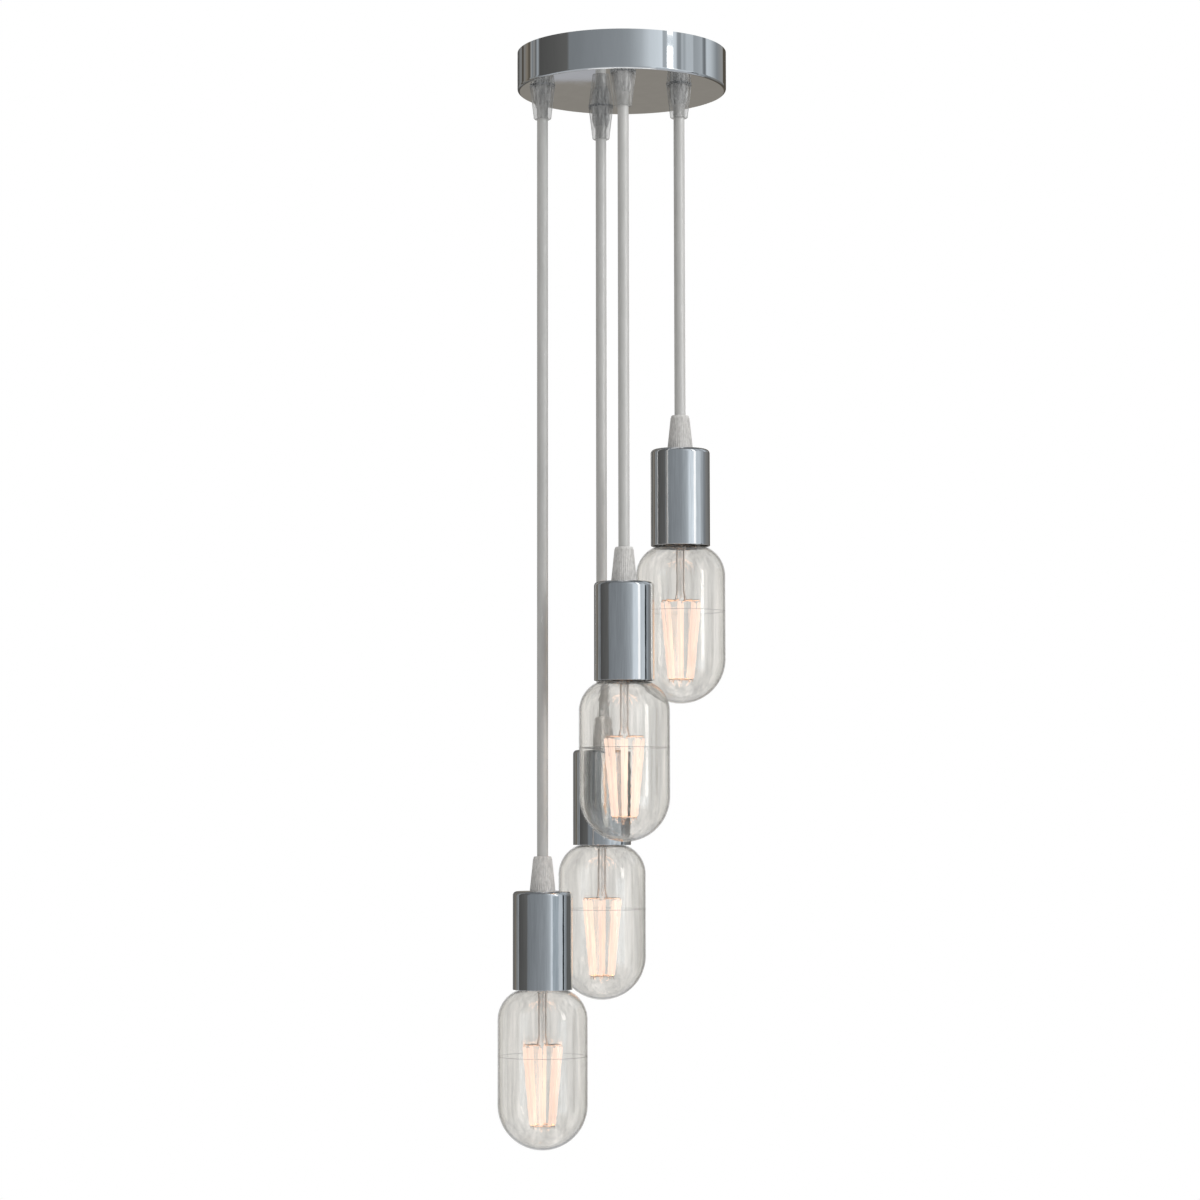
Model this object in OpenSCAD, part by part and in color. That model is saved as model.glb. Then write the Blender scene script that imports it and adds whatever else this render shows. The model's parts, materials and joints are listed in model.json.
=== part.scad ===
// Cluster pendant: a round ceiling canopy with four cords of different lengths,
// each with a tubular cup and a capsule filament lamp.
// Origin: centre of the ceiling plane. +Z up, -Y to the front.

/* [Cluster] */
// Gap between the widest part of a lamp and the next pendant's cup
pendant_gap = 4.5; // [3:0.1:12]
// Ceiling to the cup rim of the right pendant
drop_right = 369.5; // [330:0.5:400]
// Ceiling to the cup rim of the front pendant
drop_front = 469; // [440:0.5:500]
// Ceiling to the cup rim of the back pendant
drop_back = 586.5; // [560:0.5:620]
// Ceiling to the cup rim of the left pendant
drop_left = 689.5; // [660:0.5:760]

/* [Canopy] */
// Height of the canopy
canopy_h = 29; // [26:0.5:40]
// Sheet thickness of the canopy
canopy_t = 1.2; // [0.8:0.1:1.6]
// Radius of the canopy's lower edge
canopy_edge_r = 2; // [1.7:0.1:4]
// Bare rim between the outermost grip and the canopy's edge
canopy_margin = 2.7; // [2.5:0.1:12]
// Depth of the side screws below the ceiling
side_screw_drop = 9; // [7:0.5:11]

/* [Bracket] */
// Width of the ceiling strap
strap_w = 22; // [18:0.5:24]
// Thickness of the ceiling strap
strap_t = 1.5; // [1:0.1:2]
// Length of the strap's turned-down ends
strap_tab_h = 14; // [13:0.5:16]
// Width of the strap's turned-down ends
strap_tab_w = 16; // [12:0.5:18]
// Distance between the centres of the two ceiling slots
slot_spacing = 70; // [66:0.5:76]
// End-to-end length of a ceiling slot
slot_length = 16; // [12:0.5:18]
// Width of a ceiling slot
slot_w = 5; // [4:0.1:5.5]
// Diameter of the side and earth screws
screw_d = 4; // [3.5:0.1:4.4]
// Head diameter of the earth screw
earth_head_d = 7; // [6:0.1:8]
// Head height of the earth screw
earth_head_h = 2.4; // [1.8:0.1:3]

/* [Terminal block] */
// Length of the terminal block, across its poles
block_l = 33; // [32:0.5:35]
// Depth of the terminal block, along its wires
block_d = 18; // [16:0.5:20]
// Height of the terminal block
block_h = 13; // [12.6:0.1:14]
// Width of a pole's wire opening
pole_w = 7.4; // [7.2:0.1:7.6]
// Thickness of the block around a pole's opening
block_wall = 2.1; // [1.6:0.1:2.2]
// Thickness of a pole's brass plate
pole_plate_t = 0.5; // [0.4:0.1:0.6]
// Diameter of a pole's clamp screw
pole_screw_d = 3; // [2.5:0.1:3.4]

/* [Cord] */
// Diameter of a pendant cord
cord_d = 8; // [7:0.1:8.2]
// Diameter of one insulated conductor
lead_d = 2.2; // [1.8:0.1:2.3]
// Length of sheath left standing above a grip stem
sheath_stub = 3; // [2:0.5:4]

/* [Cord grip] */
// Height of a cord grip below the canopy
grip_h = 25; // [23:0.5:32]
// Diameter of a cord grip at the canopy
grip_base_d = 18.4; // [18:0.1:20]
// Diameter of a cord grip at its mouth
grip_tip_d = 12.8; // [11:0.1:14]
// Bevel at the mouth of a cord grip
grip_bevel = 0.6; // [0.3:0.1:1]
// Diameter of the threaded stem in grips and lampholders
stem_d = 12.8; // [12.4:0.1:13.2]
// Diameter of the stem's flange under the canopy
flange_d = 18.8; // [18.4:0.1:21]
// Thickness of the stem's flange
flange_t = 1; // [0.8:0.1:1.5]
// Length of the split fingers that hold the cord
finger_l = 14; // [12:0.5:15]
// Width of the slots between the fingers
finger_slot = 1; // [0.6:0.1:1.6]
// Width across the corners of a grip nut
nut_d = 19; // [18:0.1:20]
// Height of a grip nut
nut_h = 4; // [3:0.5:5]

/* [Cup] */
// Outer diameter of a lamp cup
cup_d = 43; // [42.6:0.1:48]
// Height of a lamp cup
cup_h = 70.5; // [70:0.5:84]
// Wall of a lamp cup
cup_t = 1; // [0.8:0.1:1.1]
// Radius of a cup's upper edge
cup_edge_r = 3; // [2:0.1:5]

/* [Cord cone] */
// Height of the ribbed cone on a cup
cone_h = 25; // [22:0.5:30]
// Diameter of the cone at the cup
cone_base_d = 18.2; // [17.6:0.1:22]
// Diameter of the cone at the cord
cone_top_d = 13; // [12:0.1:15]
// Bevel at the top of the cone
cone_bevel = 0.6; // [0.3:0.1:1]
// Number of ribs around the cone
rib_count = 36; // [24:1:40]
// Width of a rib
rib_w = 0.6; // [0.4:0.1:0.7]
// How far a rib stands out
rib_proud = 0.25; // [0.1:0.05:0.4]

/* [Lampholder] */
// Gap between the lampholder and the cup around it
holder_gap = 1; // [0.5:0.1:2]
// Height of the holder's foot above the lamp cap's lower edge
holder_rise = 2; // [1.5:0.1:3]
// Room between the lamp's tip contact and the holder's floor
contact_room = 1.1; // [0.9:0.1:2]
// Height of the straight part above the skirt
holder_block_h = 10; // [8:0.5:12]
// Height of the holder's sloping top
holder_slope_h = 12; // [8:0.5:14]
// Diameter of the holder's neck
holder_neck_d = 20; // [17:0.5:24]
// Wall of the threaded shell in the holder
shell_t = 0.4; // [0.3:0.1:0.5]
// Width of the centre contact
tongue_w = 6; // [4:0.5:8]
// Length that the stem screws into the cone
stem_reach = 11.7; // [9:0.1:12]

/* [Lamp] */
// Diameter of the capsule lamp
lamp_d = 65; // [60:0.5:70]
// Cup rim to the lowest point of the lamp
lamp_drop = 114.5; // [108:0.5:130]
// Radius of the lamp's upper shoulder
shoulder_r = 23; // [22:0.1:23.4]
// Gap between the shoulder and the cup's rim
rim_gap = 1.24; // [0.8:0.02:1.6]
// Diameter of the lamp's neck
neck_d = 23.2; // [22.6:0.1:23.4]
// Radius of the hollow curve between shoulder and neck
neck_fillet_r = 4.5; // [3.5:0.1:5]
// Height of the neck's top above the cup rim
neck_top = 15; // [14:0.5:17]
// Thickness of the glass
glass_t = 0.8; // [0.6:0.1:1]

/* [Lamp cap] */
// Height of the cap's lower edge above the cup rim
cap_rise = 8; // [7:0.5:9]
// Diameter over the cap's thread crests
cap_d = 26.1; // [25.9:0.1:26.2]
// Depth of the cap's thread
thread_depth = 0.95; // [0.8:0.05:1]
// Distance between two thread crests
thread_pitch = 3.629; // [3.5:0.001:3.7]
// Number of thread crests
crest_count = 5; // [4:1:5]
// Sheet thickness of the cap
cap_t = 0.45; // [0.3:0.05:0.5]
// Height of the plain band below the thread
cap_band_h = 3; // [2.5:0.1:3.5]
// Height of the cap's cone above the thread
cap_cone_h = 3; // [2.5:0.1:3.5]
// Diameter of the cap's upper opening
cap_mouth_d = 16.4; // [15:0.1:18]
// Height of the insulator above the cap
insulator_h = 3; // [2.5:0.1:3.5]
// Diameter of the tip contact
tip_d = 9; // [8:0.1:10]
// Height of the tip contact
tip_h = 1; // [0.8:0.1:1.2]

/* [Filament] */
// Number of glowing sticks
stick_count = 8; // [6:1:8]
// Diameter of a stick
stick_d = 2.5; // [1.6:0.1:2.8]
// Radius of the ring through the stick tops
ring_top_r = 13.5; // [12:0.1:15]
// Radius of the ring through the stick feet
ring_foot_r = 8.4; // [7:0.1:10]
// Cup rim to the stick tops
stick_top = 41; // [40:0.5:43]
// Cup rim to the stick feet
stick_foot = 96; // [90:0.5:97]
// Turn of the first stick from the right
stick_turn = 38.7; // [30:0.1:44]
// Diameter of a lead wire
feed_d = 1.6; // [1:0.1:1.8]
// Distance of a lead wire from the lamp's axis
feed_r = 2.4; // [2.2:0.1:3]
// Distance of a lead wire from the axis at its foot
feed_foot_r = 3.5; // [3.3:0.1:4.5]
// Diameter of the thin wires that hold the sticks
spoke_d = 0.8; // [0.5:0.1:1]
// Diameter of the glass rod between the lead wires
rod_d = 2; // [1.2:0.1:2.2]
// Length of the wire ends below the sticks
hook_l = 3; // [2:0.1:4]

/* [Fits] */
// Clearance of a cord in a bore
cord_fit = 0.15; // [0.1:0.05:0.3]
// Clearance of a stem or screw in a hole
stem_fit = 0.2; // [0.1:0.05:0.3]
// Gap between pieces that move past each other
run_gap = 0.3; // [0.2:0.05:0.5]
// Gap of pieces that turn on each other face to face
face_gap = 0.1; // [0.05:0.05:0.2]

/* [Hidden] */

$fn = 64;
wire_fn = 16;

// Overrun that opens every cut clear of the face it starts from
cut = 1;

// The four pendants
RIGHT = 0;
FRONT = 1;
BACK = 2;
LEFT = 3;
drops = [drop_right, drop_front, drop_back, drop_left];

// Places of the pendants in plan, as shares of the closest pair's spacing
spread = lamp_d / 2 + cup_d / 2 + pendant_gap;
spot_shares = [[0.715, -0.41], [0.008, -1.117], [-0.265, 0.857], [-1, -0.357]];
spots = [for (s = spot_shares) [spread * s[0], spread * s[1]]];

// Canopy and bracket
canopy_r = max([for (s = spots) norm(s)]) + flange_d / 2 + canopy_margin;
canopy_inner_r = canopy_r - canopy_t;
canopy_top_of_floor = -canopy_h + canopy_t;
tab_x = sqrt(pow(canopy_inner_r, 2) - pow(strap_tab_w / 2, 2)) - run_gap;
screw_hole_d = screw_d + 2 * cord_fit;
screw_l = canopy_r - tab_x + 3 * strap_t;
earth_x = (block_l / 2 + slot_spacing / 2 - slot_length / 2) / 2;

// Terminal block
pole_step = pole_w + (block_l - 3 * pole_w) / 4;
cage_h = block_h - 2 * block_wall + pole_plate_t;
cage_top = -strap_t - block_wall + pole_plate_t;
pole_head_d = 1.6 * pole_screw_d;
pole_head_h = 0.6 * pole_screw_d;
block_foot = -strap_t - block_h;

// Grips
bore_d = cord_d + 2 * cord_fit;
stem_hole_d = stem_d + 2 * stem_fit;
stem_top = 3 * canopy_t + nut_h;
finger_tip_d = bore_d + flange_t;
taper_l = finger_l / 3;
sheath_top = -canopy_h + stem_top + sheath_stub;
grip_mouth = -canopy_h - grip_h;
pivot_z = grip_mouth - run_gap - cord_d / 2;

// Cords: the ring places down a plumb line from the pivot to the lampholder, as shares of its length
plumb_shares = [0, 0.05, 0.1, 0.16, 0.22, 0.28, 0.34, 0.4, 0.46, 0.52, 0.58, 0.64, 0.7, 0.76, 0.82, 0.88, 0.94, 1];
cord_sides = 12;
lead_sides = 8;

// Heights in a pendant, above the cup rim
plate_under = cup_h - cup_t;
stem_end = plate_under + stem_reach;
shell_r = cap_d / 2 + run_gap;
holder_r = cup_d / 2 - cup_t - holder_gap;

// Lamp: all heights above the cup rim
lamp_r = lamp_d / 2;
dome_z = -lamp_drop + lamp_r;
shoulder_x = lamp_r - shoulder_r;
shoulder_z = -sqrt(pow(shoulder_r + rim_gap, 2) - pow(cup_d / 2 - cup_t - shoulder_x, 2));
neck_r = neck_d / 2;
fillet_x = neck_r + neck_fillet_r;
fillet_reach = shoulder_r + neck_fillet_r;
fillet_z = shoulder_z + sqrt(pow(fillet_reach, 2) - pow(fillet_x - shoulder_x, 2));
cap_root_r = cap_d / 2 - thread_depth;
thread_foot = cap_rise + cap_band_h;
first_crest = thread_foot + thread_pitch / 2 - thread_depth / 2;
thread_top = first_crest + (crest_count - 1) * thread_pitch + thread_depth;
cap_top = thread_top + cap_cone_h;
tip_foot = cap_top + face_gap + insulator_h;
tip_top = tip_foot + tip_h;

// Lampholder: its floor lies over the lamp's tip contact
holder_foot = cap_rise + holder_rise;
holder_floor = tip_top + contact_room;
slope_foot = holder_floor + holder_block_h;
slope_top = slope_foot + holder_slope_h;
cord_end = slope_top - cord_d / 2 + run_gap;

// Inside the glass
seal_t = glass_t;
pinch_foot = -3 * seal_t;
pinch_r = feed_r + feed_d;
spoke_z = -stick_top + 2 * spoke_d;
feed_bend_z = spoke_z + 4 * feed_d;

function on_ring(i, r) = [
    r * cos(stick_turn + i * 360 / stick_count),
    r * sin(stick_turn + i * 360 / stick_count)
];

module at_spot(k, z = 0) {
    translate([spots[k][0], spots[k][1], z])
        children();
}

module hang(k) {
    at_spot(k, -drops[k])
        children();
}

// A straight round rod between two points
module rod(a, b, d) {
    v = b - a;
    l = norm(v);
    translate(a)
        rotate([0, acos(v[2] / l), atan2(v[1], v[0])])
            cylinder(h = l, d = d, $fn = wire_fn);
}

// A tube swept along points, with its own radius at each
function unit(v) = v / norm(v);
function along(p, i) = unit(p[min(i + 1, len(p) - 1)] - p[max(i - 1, 0)]);
function side_of(t) = unit(cross(t, abs(t[1]) < 0.7 ? [0, 1, 0] : [1, 0, 0]));
function ring_points(p, i, r, sides) =
    let (t = along(p, i), u = side_of(t), v = cross(t, u))
    [for (s = [0:sides - 1]) p[i] + r * (cos(s * 360 / sides) * u + sin(s * 360 / sides) * v)];

module swept(points, radii, sides) {
    n = len(points);
    rings = [for (i = [0:n - 1]) each ring_points(points, i, radii[i], sides)];
    walls = [
        for (i = [0:n - 2], s = [0:sides - 1])
            let (a = i * sides + s, b = i * sides + (s + 1) % sides)
            each [[a, a + sides, b + sides], [a, b + sides, b]]
    ];
    last = (n - 1) * sides;
    caps = [for (s = [1:sides - 2]) each [[0, s, s + 1], [last, last + s + 1, last + s]]];
    polyhedron(points = rings, faces = concat(walls, caps));
}

// A pan's half outline, open side at zero height, rounded at its floor
module pan_outline(r, h, edge) {
    translate([0, -h])
        square([r - edge, h]);
    translate([0, edge - h])
        square([r, h - edge]);
    translate([r - edge, edge - h])
        circle(edge);
}

module pan(r, h, t, edge) {
    rotate_extrude()
        difference() {
            pan_outline(r, h, edge);
            pan_outline(r - t, h - t, edge - t);
            square([r - t, cut]);
        }
}

module canopy() {
    color("silver")
        difference() {
            pan(canopy_r, canopy_h, canopy_t, canopy_edge_r);
            for (k = [RIGHT:LEFT])
                at_spot(k, -canopy_h - cut)
                    cylinder(h = canopy_t + 2 * cut, d = stem_hole_d);
            for (side = [-1, 1])
                translate([side * (canopy_r + cut), 0, -side_screw_drop])
                    rotate([0, -side * 90, 0])
                        cylinder(h = canopy_t + 2 * cut, d = screw_hole_d);
        }
}

module slot(l, w, h) {
    for (side = [-1, 1])
        translate([side * (l - w) / 2, 0, 0])
            cylinder(h = h, d = w);
    translate([-(l - w) / 2, -w / 2, 0])
        cube([l - w, w, h]);
}

module ceiling_bracket() {
    color("gainsboro")
        difference() {
            union() {
                translate([-tab_x, -strap_w / 2, -strap_t])
                    cube([2 * tab_x, strap_w, strap_t]);
                for (side = [-1, 1])
                    translate([side * (tab_x - strap_t / 2) - strap_t / 2, -strap_tab_w / 2, -strap_tab_h])
                        cube([strap_t, strap_tab_w, strap_tab_h]);
            }
            // the strap's ends follow the round canopy
            difference() {
                translate([-canopy_r, -strap_w, -canopy_h])
                    cube([2 * canopy_r, 2 * strap_w, canopy_h + cut]);
                translate([0, 0, -canopy_h])
                    cylinder(h = canopy_h + 2 * cut, r = canopy_inner_r - run_gap);
            }
            for (side = [-1, 1])
                translate([side * slot_spacing / 2, 0, -strap_t - cut])
                    slot(slot_length, slot_w, strap_t + 2 * cut);
            translate([earth_x, 0, -strap_t - cut])
                cylinder(h = strap_t + 2 * cut, d = screw_hole_d);
            for (side = [-1, 1])
                translate([side * (tab_x + cut), 0, -side_screw_drop])
                    rotate([0, -side * 90, 0])
                        cylinder(h = strap_t + 2 * cut, d = screw_hole_d);
        }
}

// Two slotted side screws, flush with the canopy, and the earth screw
module fixing_screws() {
    color("silver") {
        for (side = [-1, 1])
            difference() {
                translate([side * (canopy_r - canopy_t / 4), 0, -side_screw_drop])
                    rotate([0, -side * 90, 0])
                        cylinder(h = screw_l, d = screw_d);
                translate([side * (canopy_r - canopy_t / 4), 0, -side_screw_drop])
                    cube([2 * canopy_t, screw_d * 2, canopy_t / 2], center = true);
            }
        translate([earth_x, 0, -strap_t - earth_head_h])
            difference() {
                union() {
                    cylinder(h = earth_head_h, d = earth_head_d);
                    cylinder(h = earth_head_h + strap_t, d = screw_d);
                }
                cube([2 * earth_head_d, screw_d / 4, earth_head_h], center = true);
            }
    }
}

module terminal_block() {
    color("ivory")
        difference() {
            translate([-block_l / 2, -block_d / 2, block_foot])
                cube([block_l, block_d, block_h]);
            for (i = [-1:1]) {
                translate([i * pole_step - pole_w / 2, -block_d / 2 - cut, cage_top - cage_h])
                    cube([pole_w, block_d + 2 * cut, cage_h]);
                translate([i * pole_step, 0, block_foot - cut])
                    cylinder(h = block_wall + 2 * cut, d = pole_screw_d + 2 * cord_fit);
            }
        }
}

module terminal_clamps() {
    color("goldenrod")
        for (i = [-1:1]) {
            translate([i * pole_step - pole_w / 2, -block_d / 2, cage_top - pole_plate_t])
                cube([pole_w, block_d, pole_plate_t]);
            translate([i * pole_step, 0, block_foot - pole_head_h])
                difference() {
                    union() {
                        cylinder(h = pole_head_h, d = pole_head_d);
                        cylinder(h = pole_head_h + block_wall + pole_plate_t, d = pole_screw_d);
                    }
                    cube([2 * pole_head_d, pole_screw_d / 4, pole_head_h], center = true);
                }
        }
}

// Flanged, threaded stem with four split fingers that hold the cord
module grip_stem() {
    difference() {
        rotate_extrude()
            polygon([
                [bore_d / 2, stem_top],
                [stem_d / 2, stem_top],
                [stem_d / 2, 0],
                [flange_d / 2, 0],
                [flange_d / 2, -flange_t],
                [stem_d / 2 - stem_fit, -flange_t],
                [stem_d / 2 - stem_fit, -flange_t - finger_l + taper_l],
                [finger_tip_d / 2, -flange_t - finger_l],
                [bore_d / 2, -flange_t - finger_l]
            ]);
        for (turn = [45, 135])
            rotate([0, 0, turn])
                translate([-stem_d, -finger_slot / 2, -flange_t - finger_l - cut])
                    cube([2 * stem_d, finger_slot, finger_l * 2 / 3 + cut]);
    }
}

module grip_stems() {
    color("whitesmoke")
        for (k = [RIGHT:LEFT])
            at_spot(k, -canopy_h)
                grip_stem();
}

module grip_nuts() {
    color("silver")
        for (k = [RIGHT:LEFT])
            at_spot(k, canopy_top_of_floor)
                difference() {
                    cylinder(h = nut_h, d = nut_d, $fn = 6);
                    translate([0, 0, -cut])
                        cylinder(h = nut_h + 2 * cut, d = stem_d + stem_fit);
                }
}

// Clear tapered cap, hollow round the fingers
module cord_grip(k) {
    color([0.85, 0.87, 0.88, 0.6])
        at_spot(k, -canopy_h)
            rotate_extrude()
                polygon([
                    [stem_d / 2 + stem_fit, -flange_t],
                    [grip_base_d / 2, -flange_t],
                    [grip_tip_d / 2, grip_bevel - grip_h],
                    [grip_tip_d / 2 - grip_bevel, -grip_h],
                    [bore_d / 2, -grip_h],
                    [bore_d / 2, -flange_t - finger_l - 2 * flange_t],
                    [finger_tip_d / 2 + stem_fit, -flange_t - finger_l - flange_t],
                    [stem_d / 2 + stem_fit, -flange_t - finger_l + taper_l]
                ]);
}

// The sheathed stretches that the grips hold, from the mouth to the stub inside the canopy
module cord_tails() {
    color("lightgray")
        for (k = [RIGHT:LEFT])
            at_spot(k, grip_mouth)
                cylinder(h = sheath_top - grip_mouth, d = cord_d);
}

// One conductor of each cord, from the stub up to its layer and across to its pole.
// The layers lie one above the other, so that conductors of different poles never cross.
layer_step = (cage_h - pole_plate_t - lead_d) / 2 - face_gap;
layer_top = cage_top - pole_plate_t - face_gap - lead_d / 2;
lead_step = lead_d + face_gap;
entry_shares = [1, 0, 0, -1];

function corner(a, b, c, r) =
    let (p = b + r * unit(a - b), q = b + r * unit(c - b))
    [for (s = [0, 0.25, 0.5, 0.75, 1]) (1 - s) * (1 - s) * p + 2 * s * (1 - s) * b + s * s * q];

function lead_route(k, pole) =
    let (
        face = k == BACK ? 1 : -1,
        z = layer_top - (pole + 1) * layer_step,
        mouth = [pole * pole_step + entry_shares[k] * lead_step, face * (block_d / 2 + lead_d)],
        aim = unit(mouth - spots[k]),
        across = [-aim[1], aim[0]] * (face * sign(aim[1])),
        start = spots[k] + pole * lead_step * face * across,
        a = [start[0], start[1], sheath_top],
        b = [start[0], start[1], z],
        c = [mouth[0], mouth[1], z],
        d = [mouth[0], face * block_d / 4, z]
    )
    concat([a], corner(a, b, c, 1.5 * lead_d), corner(b, c, d, lead_d), [d]);

module leads(pole) {
    for (k = [RIGHT:LEFT]) {
        route = lead_route(k, pole);
        swept(route, [for (p = route) lead_d / 2], lead_sides);
    }
}

module leads_live() {
    color("saddlebrown")
        leads(-1);
}

module leads_neutral() {
    color("steelblue")
        leads(0);
}

module leads_earth() {
    color("yellowgreen")
        leads(1);
}

// A free cord hangs plumb from its pivot under the grip, with a round upper end that it swings on
module cord(k) {
    foot_z = -drops[k] + cord_end;
    l = pivot_z - foot_z;
    r = cord_d / 2;
    plumb = [for (s = plumb_shares) [spots[k][0], spots[k][1], pivot_z - s * l]];
    dome = [for (turn = [84, 45]) [spots[k][0], spots[k][1], pivot_z + r * sin(turn)]];
    radii = concat([for (turn = [84, 45]) r * cos(turn)], [for (s = plumb_shares) r]);
    color("lightgray")
        swept(concat(dome, plumb), radii, cord_sides);
}

// Ribbed cone that covers the stem and carries the cord into the cup
module cord_cone(k) {
    slope = atan((cone_base_d - cone_top_d) / 2 / (cone_h - cone_bevel));
    rib_l = (cone_h - 4 * cone_bevel) / cos(slope);
    color("silver")
        hang(k)
            translate([0, 0, cup_h]) {
                difference() {
                    union() {
                        rotate_extrude()
                            polygon([
                                [0, 0],
                                [cone_base_d / 2, 0],
                                [cone_top_d / 2, cone_h - cone_bevel],
                                [cone_top_d / 2 - cone_bevel, cone_h],
                                [0, cone_h]
                            ]);
                        for (i = [0:rib_count - 1])
                            rotate([0, 0, i * 360 / rib_count])
                                translate([cone_base_d / 2, 0, 0])
                                    rotate([0, -slope, 0])
                                        translate([-rib_w, -rib_w / 2, cone_bevel])
                                            cube([rib_w + rib_proud, rib_w, rib_l]);
                    }
                    translate([0, 0, -cut])
                        cylinder(h = cone_h + 2 * cut, d = bore_d);
                    translate([0, 0, -cut])
                        cylinder(h = stem_end - cup_h + run_gap + cut, d = stem_d + stem_fit);
                }
            }
}

module cup(k) {
    color("silver")
        hang(k)
            difference() {
                mirror([0, 0, 1])
                    pan(cup_d / 2, cup_h, cup_t, cup_edge_r);
                translate([0, 0, cup_h - cup_t - cut])
                    cylinder(h = cup_t + 2 * cut, d = stem_hole_d);
            }
}

module lampholder(k) {
    color("dimgray")
        hang(k)
            rotate_extrude()
                polygon([
                    [shell_r + shell_t + face_gap, holder_foot],
                    [holder_r, holder_foot],
                    [holder_r, slope_foot],
                    [holder_neck_d / 2, slope_top],
                    [holder_neck_d / 2, plate_under],
                    [stem_d / 2, plate_under],
                    [stem_d / 2, stem_end],
                    [bore_d / 2, stem_end],
                    [bore_d / 2, cord_end - run_gap],
                    [0, cord_end - run_gap],
                    [0, holder_floor],
                    [shell_r + shell_t + face_gap, holder_floor]
                ]);
}

// The threaded shell and the sprung centre contact
module holder_contacts(k) {
    shell_foot = thread_foot;
    tongue_foot = tip_top + run_gap;
    color("goldenrod")
        hang(k) {
            difference() {
                translate([0, 0, shell_foot])
                    cylinder(h = holder_floor - shell_foot, r = shell_r + shell_t);
                translate([0, 0, shell_foot - cut])
                    cylinder(h = holder_floor - shell_foot + 2 * cut, r = shell_r);
            }
            translate([-tip_d / 2, -tongue_w / 2, tongue_foot])
                cube([tip_d, tongue_w, shell_t]);
            translate([0, 0, tongue_foot])
                cylinder(h = holder_floor - tongue_foot, d = tongue_w / 2);
        }
}

module cap_tip(k) {
    color("dimgray")
        hang(k) {
            translate([0, 0, cap_top + face_gap])
                cylinder(h = insulator_h, d1 = cap_mouth_d, d2 = tip_d);
            translate([0, 0, tip_foot])
                cylinder(h = tip_h, d = tip_d);
        }
}

module lamp_cap(k) {
    inner_r = neck_r + face_gap;
    color("silver")
        hang(k)
            rotate_extrude()
                difference() {
                    union() {
                        translate([0, cap_rise])
                            square([cap_root_r + cap_t, cap_band_h]);
                        translate([0, thread_foot])
                            square([cap_root_r, thread_top - thread_foot]);
                        for (i = [0:crest_count - 1])
                            translate([cap_root_r, first_crest + i * thread_pitch])
                                circle(thread_depth, $fn = 24);
                        polygon([
                            [0, thread_top],
                            [cap_root_r, thread_top],
                            [cap_mouth_d / 2, cap_top],
                            [0, cap_top]
                        ]);
                    }
                    translate([0, cap_rise - cut])
                        square([inner_r, thread_top - cap_t - cap_rise + cut]);
                    polygon([
                        [0, thread_top - 2 * cap_t],
                        [inner_r, thread_top - cap_t],
                        [cap_mouth_d / 2 - cap_t, cap_top],
                        [cap_mouth_d / 2 - cap_t, cap_top + cut],
                        [0, cap_top + cut]
                    ]);
                }
}

// The capsule's half outline: round end, straight side, shoulder and neck, drawn in by a wall
module lamp_outline(wall) {
    translate([0, dome_z])
        intersection() {
            circle(lamp_r - wall, $fn = 96);
            translate([0, -lamp_r])
                square([lamp_r, lamp_r]);
        }
    translate([0, dome_z])
        square([lamp_r - wall, shoulder_z - dome_z]);
    translate([0, shoulder_z])
        square([shoulder_x, shoulder_r - wall]);
    translate([shoulder_x, shoulder_z])
        intersection() {
            circle(shoulder_r - wall, $fn = 96);
            square(shoulder_r);
        }
    difference() {
        polygon([
            [0, shoulder_z],
            [shoulder_x, shoulder_z],
            [fillet_x, fillet_z],
            [neck_r - wall, fillet_z],
            [neck_r - wall, neck_top],
            [0, neck_top]
        ]);
        translate([fillet_x, fillet_z])
            circle(neck_fillet_r + wall);
    }
}

module lamp_glass(k) {
    color([0.85, 0.83, 0.78, 0.3])
        hang(k)
            rotate_extrude()
                difference() {
                    lamp_outline(0);
                    lamp_outline(glass_t);
                    translate([0, neck_top - cut])
                        square([neck_r - glass_t, 2 * cut]);
                }
}

// The glass seal on the neck, its flare, the pinch that holds the lead wires, and the thin rod
module lamp_stem(k) {
    color([0.8, 0.8, 0.78, 0.5])
        hang(k) {
            rotate_extrude()
                polygon([
                    [0, neck_top + seal_t],
                    [neck_r, neck_top + seal_t],
                    [neck_r, neck_top],
                    [neck_r - 2 * glass_t, neck_top],
                    [pinch_r, pinch_foot + 3 * feed_d],
                    [pinch_r, pinch_foot],
                    [rod_d / 2, pinch_foot],
                    [rod_d / 2, spoke_z + 2 * spoke_d],
                    [0, spoke_z + 2 * spoke_d]
                ]);
        }
}

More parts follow.
